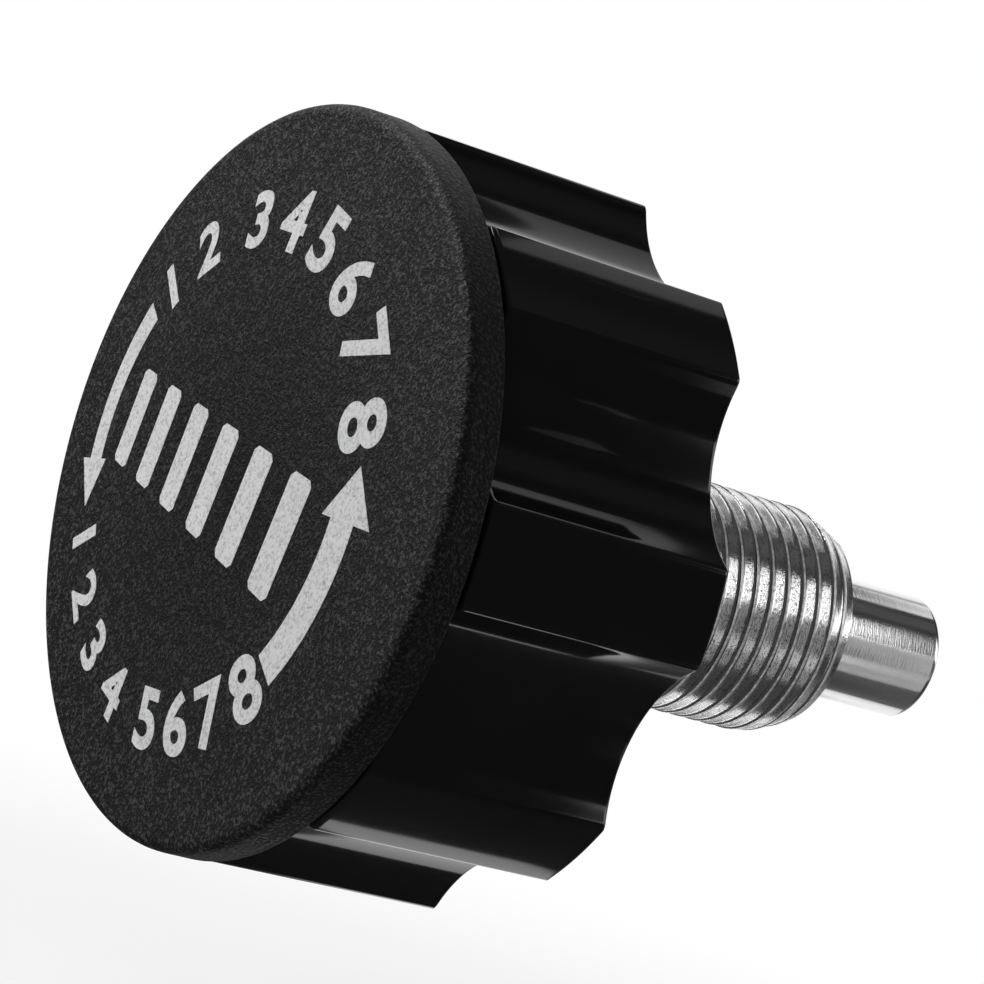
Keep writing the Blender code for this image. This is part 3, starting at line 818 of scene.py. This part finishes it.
def lean(x, z):
    """Where the pad lays a point of the artwork: the disc's edge stays, its middle shifts to -X."""
    along_x, along_z = LEAN_X / LEAN, LEAN_Z / LEAN
    along = (x * along_x + z * along_z) / CAP_RADIUS
    across = (z * along_x - x * along_z) / CAP_RADIUS
    shrink = 1.0 + LEAN * along
    new_along = (along + LEAN) / shrink * CAP_RADIUS
    new_across = across * math.sqrt(1.0 - LEAN**2) / shrink * CAP_RADIUS
    return new_along * along_x - new_across * along_z, new_along * along_z + new_across * along_x


def grey_ink():
    """Ink that sits on the grain's tops, thinner in its pits."""
    ink = Finish("grey_ink")
    height = grain(ink)
    cover = ink.ramp(height, [(0.3, 0.0), (0.52, 1.0)])
    patches = ink.noise(400.0, 2.0)
    full = ink.blend(patches, (0.56, 0.56, 0.57), (0.66, 0.66, 0.66))
    tone = ink.blend(cover, (0.3, 0.3, 0.3), full)
    skin = ink.bump(height, 0.5, 0.00008)
    return ink.set(Base_Color=tone, Roughness=0.55, Normal=skin, Specular_IOR_Level=0.3)


ink = grey_ink()


def printed(name, outlines):
    """A thin raised print from closed outlines of (x, z) artwork points."""
    bm = bmesh.new()
    for outline in outlines:
        front = [bm.verts.new((x, FACE_Y, z)) for x, z in (lean(*point) for point in outline)]
        back = [bm.verts.new((v.co.x, FACE_Y + 2.0 * INK, v.co.z)) for v in front]
        bm.faces.new(front)
        bm.faces.new(back[::-1])
        for k in range(len(front)):
            following = (k + 1) % len(front)
            bm.faces.new((front[k], front[following], back[following], back[k]))
    bmesh.ops.recalc_face_normals(bm, faces=bm.faces)
    bmesh.ops.triangulate(bm, faces=[f for f in bm.faces if len(f.verts) > 4])
    mesh = bpy.data.meshes.new(name)
    bm.to_mesh(mesh)
    bm.free()
    piece = show(name, mesh, ink, 30.0)
    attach(piece, "knob")


def spread(first, last, count):
    return [first + (last - first) * k / (count - 1) for k in range(count)]


def arrow(tail, neck, tip):
    """A curved arrow between angles in degrees, its tip at the greatest."""
    def at(radius, degrees):
        return radius * math.cos(math.radians(degrees)), radius * math.sin(math.radians(degrees))

    sweep = spread(tail, neck, 25)
    inner = [at(ARROW_INNER, a) for a in sweep]
    outer = [at(ARROW_OUTER, a) for a in sweep]
    return inner + [at(BARB_INNER, neck), at(ARROW_TIP, tip), at(BARB_OUTER, neck)] + outer[::-1]


printed("print_arrows", [arrow(-33.8, -0.5, 9.7), arrow(144.0, 188.0, 201.1)])

BARS = 6
BAR_PITCH = 0.0054
BAR_WIDTH = 0.0027
BAR_HEIGHT = 0.0086
BAR_CLIP = 0.0004
BARS_TURN = math.radians(-9.5)
BARS_DROP = 0.0003


def bar(number):
    """One upright bar with clipped corners, in a row that slopes gently down to +X."""
    middle = (number - 0.5 * (BARS - 1)) * BAR_PITCH
    half_w, half_h = 0.5 * BAR_WIDTH, 0.5 * BAR_HEIGHT
    corners = []
    for sx, sz in ((1, 1), (-1, 1), (-1, -1), (1, -1)):
        pair = [(sx * half_w, sz * (half_h - BAR_CLIP)), (sx * (half_w - BAR_CLIP), sz * half_h)]
        corners += pair if sx * sz > 0 else pair[::-1]
    cos, sin = math.cos(BARS_TURN), math.sin(BARS_TURN)
    moved = [(x + middle, z) for x, z in corners]
    return [(x * cos - z * sin, x * sin + z * cos - BARS_DROP) for x, z in moved]


printed("print_bars", [bar(number) for number in range(BARS)])


def figure_mesh(text):
    """The outline of one figure as a flat, extruded mesh, centred and of unit height."""
    curve = bpy.data.curves.new("figure", "FONT")
    curve.body = text
    curve.align_x = "CENTER"
    curve.size = 1.0
    curve.offset = FIGURE_WEIGHT
    curve.extrude = 0.01
    curve.resolution_u = 6
    holder = bpy.data.objects.new("figure", curve)
    bpy.context.scene.collection.objects.link(holder)
    depsgraph = bpy.context.evaluated_depsgraph_get()
    mesh = bpy.data.meshes.new_from_object(holder.evaluated_get(depsgraph))
    bpy.data.objects.remove(holder)
    return mesh


def figures(name, places, tops_outward):
    """Figures 1, 2, 3 ... at angles in degrees, upright as read from inside or outside."""
    bm = bmesh.new()
    for number, degrees in enumerate(places, 1):
        mesh = figure_mesh(str(number))
        corners = np.array([v.co for v in mesh.vertices])
        low, high = corners.min(axis=0), corners.max(axis=0)
        middle = 0.5 * (low + high)
        tall = (FIGURE_TOP - FIGURE_FOOT) / (high[1] - low[1])
        turn = math.radians(degrees)
        up = Vector((math.cos(turn), math.sin(turn))) * (1.0 if tops_outward else -1.0)
        right = Vector((up.y, -up.x))
        centre = Vector((math.cos(turn), math.sin(turn))) * 0.5 * (FIGURE_TOP + FIGURE_FOOT)
        start = len(bm.verts)
        bm.from_mesh(mesh)
        bm.verts.ensure_lookup_table()
        for v in bm.verts[start:]:
            across = (v.co.x - middle[0]) * tall * FIGURE_STRETCH
            spot = centre + right * across + up * (v.co.y - middle[1]) * tall
            x, z = lean(spot.x, spot.y)
            v.co = (x, FACE_Y if v.co.z > 0.0 else FACE_Y + 2.0 * INK, z)
        bpy.data.meshes.remove(mesh)
    bmesh.ops.remove_doubles(bm, verts=bm.verts, dist=1e-7)
    bmesh.ops.recalc_face_normals(bm, faces=bm.faces)
    mesh = bpy.data.meshes.new(name)
    bm.to_mesh(mesh)
    bm.free()
    piece = show(name, mesh, ink, 30.0)
    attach(piece, "knob")


figures("print_upper_figures", spread(134.8, 117.2, 2) + spread(94.9, 17.3, 6), True)
figures("print_lower_figures", spread(-150.0, -99.0, 4) + spread(-79.5, -40.5, 4), False)


# Studio: a plain pale floor below the object, which hangs by its thread as in the photograph,
# a white backdrop, and a dim room whose pale walls only reflections show.

FLOOR_Z = -0.06
FLOOR_HALF = 3.0
CLEAR_SHARE = 0.6

floor_white = bpy.data.materials.new("floor_white")
floor_white.use_nodes = True
paint = Board(floor_white.node_tree)
paint.tree.nodes.clear()
place = paint.add("ShaderNodeTexCoord", output="Object")
speckle = paint.add("ShaderNodeTexNoise", None, {"Vector": place, "Scale": 60.0})
pale = paint.blend(speckle, (0.84, 0.84, 0.84), (0.88, 0.88, 0.88))
distance = paint.add("ShaderNodeVectorMath", {"operation": "LENGTH"}, {0: place}, output="Value")
smooth = {"interpolation_type": "SMOOTHSTEP"}
away = {"Value": distance, "From Min": 0.12, "From Max": 0.4}
far = paint.add("ShaderNodeMapRange", smooth, away)
seen = paint.add("ShaderNodeLightPath", output="Is Camera Ray")
matt = paint.add("ShaderNodeBsdfDiffuse", None, {"Color": pale})
plain = paint.add("ShaderNodeEmission", None, {"Strength": 1.0})
clear = (CLEAR_SHARE + far * (1.0 - CLEAR_SHARE)) * seen
surface = paint.add("ShaderNodeMixShader", None, {0: clear, 1: matt, 2: plain})
paint.add("ShaderNodeOutputMaterial", None, {"Surface": surface}, output=None)

floor_mesh = bpy.data.meshes.new("floor")
signs = ((-1, -1), (1, -1), (1, 1), (-1, 1))
floor_corners = [(sx * FLOOR_HALF, sy * FLOOR_HALF, FLOOR_Z) for sx, sy in signs]
floor_mesh.from_pydata(floor_corners, [], [(0, 1, 2, 3)])
floor_mesh.materials.append(floor_white)
floor = bpy.data.objects.new("floor", floor_mesh)
bpy.context.scene.collection.objects.link(floor)
floor.visible_glossy = False

# The world is white to the camera and an even low level to the object's diffuse light. What its
# reflections show of it depends on the turn about Y, from -X over -Z, +X and +Z, as a share of a
# whole turn: one row of wall levels beside the object and one beyond the pin's end.

ROOM_LEVEL = 0.07
FILL_LEVEL = 0.2

world = bpy.data.worlds.new("studio")
bpy.context.scene.world = world
world.use_nodes = True
sky = Board(world.node_tree)
sky.tree.nodes.clear()
x, y, z = sky.parts_of(sky.add("ShaderNodeTexCoord", output="Generated"))
around = sky.maths("ARCTAN2", z, x) / math.tau + 0.5
beside_panels = [
    (0.0, 0.4),
    (0.15, 0.25),
    (0.2, 0.1),
    (0.25, 0.04),
    (0.67, 0.04),
    (0.69, 0.11),
    (0.725, 0.11),
    (0.75, 0.04),
    (0.855, 0.04),
    (0.89, 1.2),
]
beyond_panels = [
    (0.0, 0.5),
    (0.2, 0.3),
    (0.25, 0.05),
    (0.4, 0.05),
    (0.42, 0.6),
    (0.45, 0.1),
    (0.53, 0.08),
    (0.57, 3.0),
    (0.63, 3.0),
    (0.67, 0.05),
    (0.84, 0.05),
    (0.88, 1.2),
]
beside_level = sky.add("ShaderNodeValToRGB", {"stops": beside_panels}, {0: around})
beyond_level = sky.add("ShaderNodeValToRGB", {"stops": beyond_panels}, {0: around})
behind = sky.add("ShaderNodeMapRange", smooth, {"Value": y, "From Min": -0.1, "From Max": 0.35})
beyond = sky.add("ShaderNodeMapRange", smooth, {"Value": y, "From Min": 0.66, "From Max": 0.76})
reflected = ROOM_LEVEL + behind * (beside_level - ROOM_LEVEL)
reflected = reflected + beyond * (beyond_level - reflected)
glossy = sky.add("ShaderNodeLightPath", output="Is Glossy Ray")
seen = sky.add("ShaderNodeLightPath", output="Is Camera Ray")
level = FILL_LEVEL + glossy * (reflected - FILL_LEVEL)
level = level + seen * (1.0 - level)
light = sky.add("ShaderNodeBackground", None, {"Color": (1.0, 1.0, 1.0, 1.0), "Strength": level})
sky.add("ShaderNodeOutputWorld", None, {"Surface": light}, output=None)


def lamp(name, place, aim, size, radiance):
    """A soft rectangular lamp of a given brightness, which no camera sees."""
    data = bpy.data.lights.new(name, "AREA")
    data.shape = "RECTANGLE"
    data.size, data.size_y = size
    data.energy = radiance * math.pi * size[0] * size[1]
    item = bpy.data.objects.new(name, data)
    item.location = place
    item.rotation_euler = (Vector(aim) - Vector(place)).to_track_quat("-Z", "Y").to_euler()
    item.visible_camera = False
    bpy.context.scene.collection.objects.link(item)


def beside(reach, y, degrees):
    """A place at a distance from the axis, at an angle from +X towards +Z."""
    turn = math.radians(degrees)
    return reach * math.cos(turn), y, reach * math.sin(turn)


# One lamp rakes across the disc and one hangs over the pin. The rest are soft panels round the
# axis, each as narrow as the band of light that it lays along the metal or the grip: its name,
# its angle, its place along Y, its width along Y, its height and its brightness.

PANEL_REACH = 0.3
lamp("front_lamp", (-0.16, -0.19, 0.2), (0.0, -0.02, 0.0), (0.16, 0.16), 12.5)
lamp("top_lamp", (-0.3, 0.2, 0.7), (0.0, 0.2, 0.0), (0.4, 0.4), 1.5)
for name, degrees, y, width, height, radiance in (
    ("strip_lamp", 32.0, 0.2255, 0.027, 0.2, 5.4),
    ("low_strip", -28.0, 0.2225, 0.037, 0.075, 1.2),
    ("pin_side_panel", -18.0, 0.29, 0.08, 0.44, 0.57),
    ("pin_fill_panel", -80.0, 0.28, 0.06, 0.26, 0.09),
    ("pin_high_panel", 111.0, 0.281, 0.046, 0.18, 1.2),
    ("pin_low_panel", -140.0, 0.28, 0.06, 0.4, 1.0),
    ("grip_high_panel", 116.0, 0.19, 0.044, 0.22, 0.65),
    ("grip_low_panel", -124.0, 0.19, 0.044, 0.26, 2.1),
):
    lamp(name, beside(PANEL_REACH, y, degrees), (0.0, y, 0.0), (width, height), radiance)

# Camera, at the photograph's angle and distance.

CAMERA_PLACE = (0.3265, -0.21217, 0.01293)
CAMERA_FORWARD = Vector((-0.84241, 0.5383, -0.02388))
CAMERA_UP = Vector((-0.17455, -0.2307, 0.95724))

camera_data = bpy.data.cameras.new("camera")
camera_data.lens = 189.78
camera_data.sensor_width = 36.0
camera_data.clip_start = 0.01
camera_data.clip_end = 50.0
camera = bpy.data.objects.new("camera", camera_data)
camera_right = CAMERA_FORWARD.cross(CAMERA_UP)
camera_turn = Matrix((camera_right, CAMERA_UP, -CAMERA_FORWARD)).transposed().to_4x4()
camera.matrix_world = Matrix.Translation(CAMERA_PLACE) @ camera_turn
bpy.context.scene.collection.objects.link(camera)
bpy.context.scene.camera = camera

bpy.context.scene.view_settings.view_transform = "Standard"
